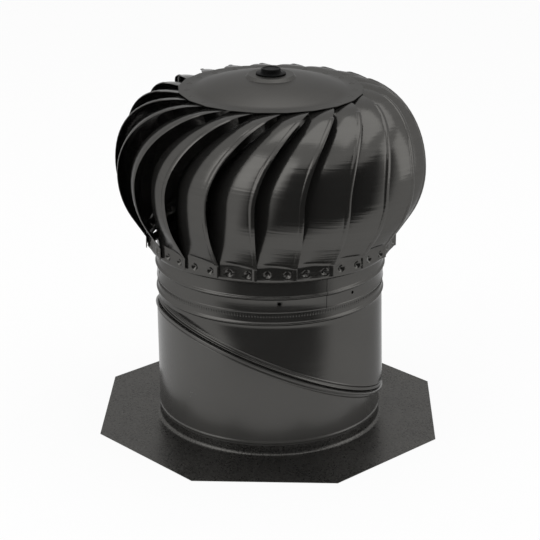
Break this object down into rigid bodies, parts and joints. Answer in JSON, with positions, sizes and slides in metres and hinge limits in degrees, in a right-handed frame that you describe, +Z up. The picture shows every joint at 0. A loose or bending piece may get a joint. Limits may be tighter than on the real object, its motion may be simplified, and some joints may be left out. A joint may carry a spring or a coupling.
{
  "type": "turbine roof vent",
  "caption": "Wind-driven turbine roof vent: octagonal flashing, round base that swivels on a slanted seam, and a globe head of overlapping curved blades that spins on a shaft.",
  "frame": {"origin": "centre of the flashing plate's underside, on the duct's axis", "axes": "+Z up along the duct and the spinning head's axis, -Y towards the viewer, with two flats of the octagonal plate across X and two across Y"},
  "size_m": [0.457, 0.457, 0.4914],
  "materials": {
    "painted_sheet": "gloss baked enamel, dark bronze black",
    "zinc_steel": "zinc plated",
    "bush_bronze": "turned",
    "black_plastic": "moulded, satin"
  },
  "bodies": {
    "base": {"flashing_plate": "painted_sheet", "lower_tube": "painted_sheet"},
    "neck": {"upper_tube": "painted_sheet", "throat_ring": "painted_sheet", "brace_leg_1": "zinc_steel", "brace_leg_2": "zinc_steel", "brace_leg_3": "zinc_steel", "brace_hub": "zinc_steel", "brace_rivets": "zinc_steel", "shaft": "zinc_steel", "shaft_washer": "zinc_steel", "shaft_nut": "zinc_steel", "bearing_inner_race": "zinc_steel", "bearing_nut": "zinc_steel"},
    "rotor": {"rotor_ring": "painted_sheet", "blade_01": "painted_sheet", "blade_02": "painted_sheet", "blade_03": "painted_sheet", "blade_04": "painted_sheet", "blade_05": "painted_sheet", "blade_06": "painted_sheet", "blade_07": "painted_sheet", "blade_08": "painted_sheet", "blade_09": "painted_sheet", "blade_10": "painted_sheet", "blade_11": "painted_sheet", "blade_12": "painted_sheet", "blade_13": "painted_sheet", "blade_14": "painted_sheet", "blade_15": "painted_sheet", "blade_16": "painted_sheet", "blade_17": "painted_sheet", "blade_18": "painted_sheet", "blade_19": "painted_sheet", "blade_20": "painted_sheet", "blade_21": "painted_sheet", "top_cap": "painted_sheet", "bearing_housing": "zinc_steel", "bearing_outer_race": "zinc_steel", "bearing_balls": "zinc_steel", "housing_clip": "zinc_steel", "bearing_cap": "black_plastic", "spoke_1": "zinc_steel", "spoke_2": "zinc_steel", "spoke_3": "zinc_steel", "spoke_hub": "zinc_steel", "spoke_rivets": "zinc_steel", "lower_bush": "bush_bronze"}
  },
  "joints": [
    {"name": "pitch_swivel", "type": "hinge", "parent": "base", "child": "neck", "pos_m": [0, 0, 0.102], "axis": [0.3523, 0.1495, 0.9239], "continuous": true},
    {"name": "rotor_spin", "type": "hinge", "parent": "neck", "child": "rotor", "pos_m": [0, 0, 0.36], "axis": [0, 0, 1], "continuous": true}
  ]
}
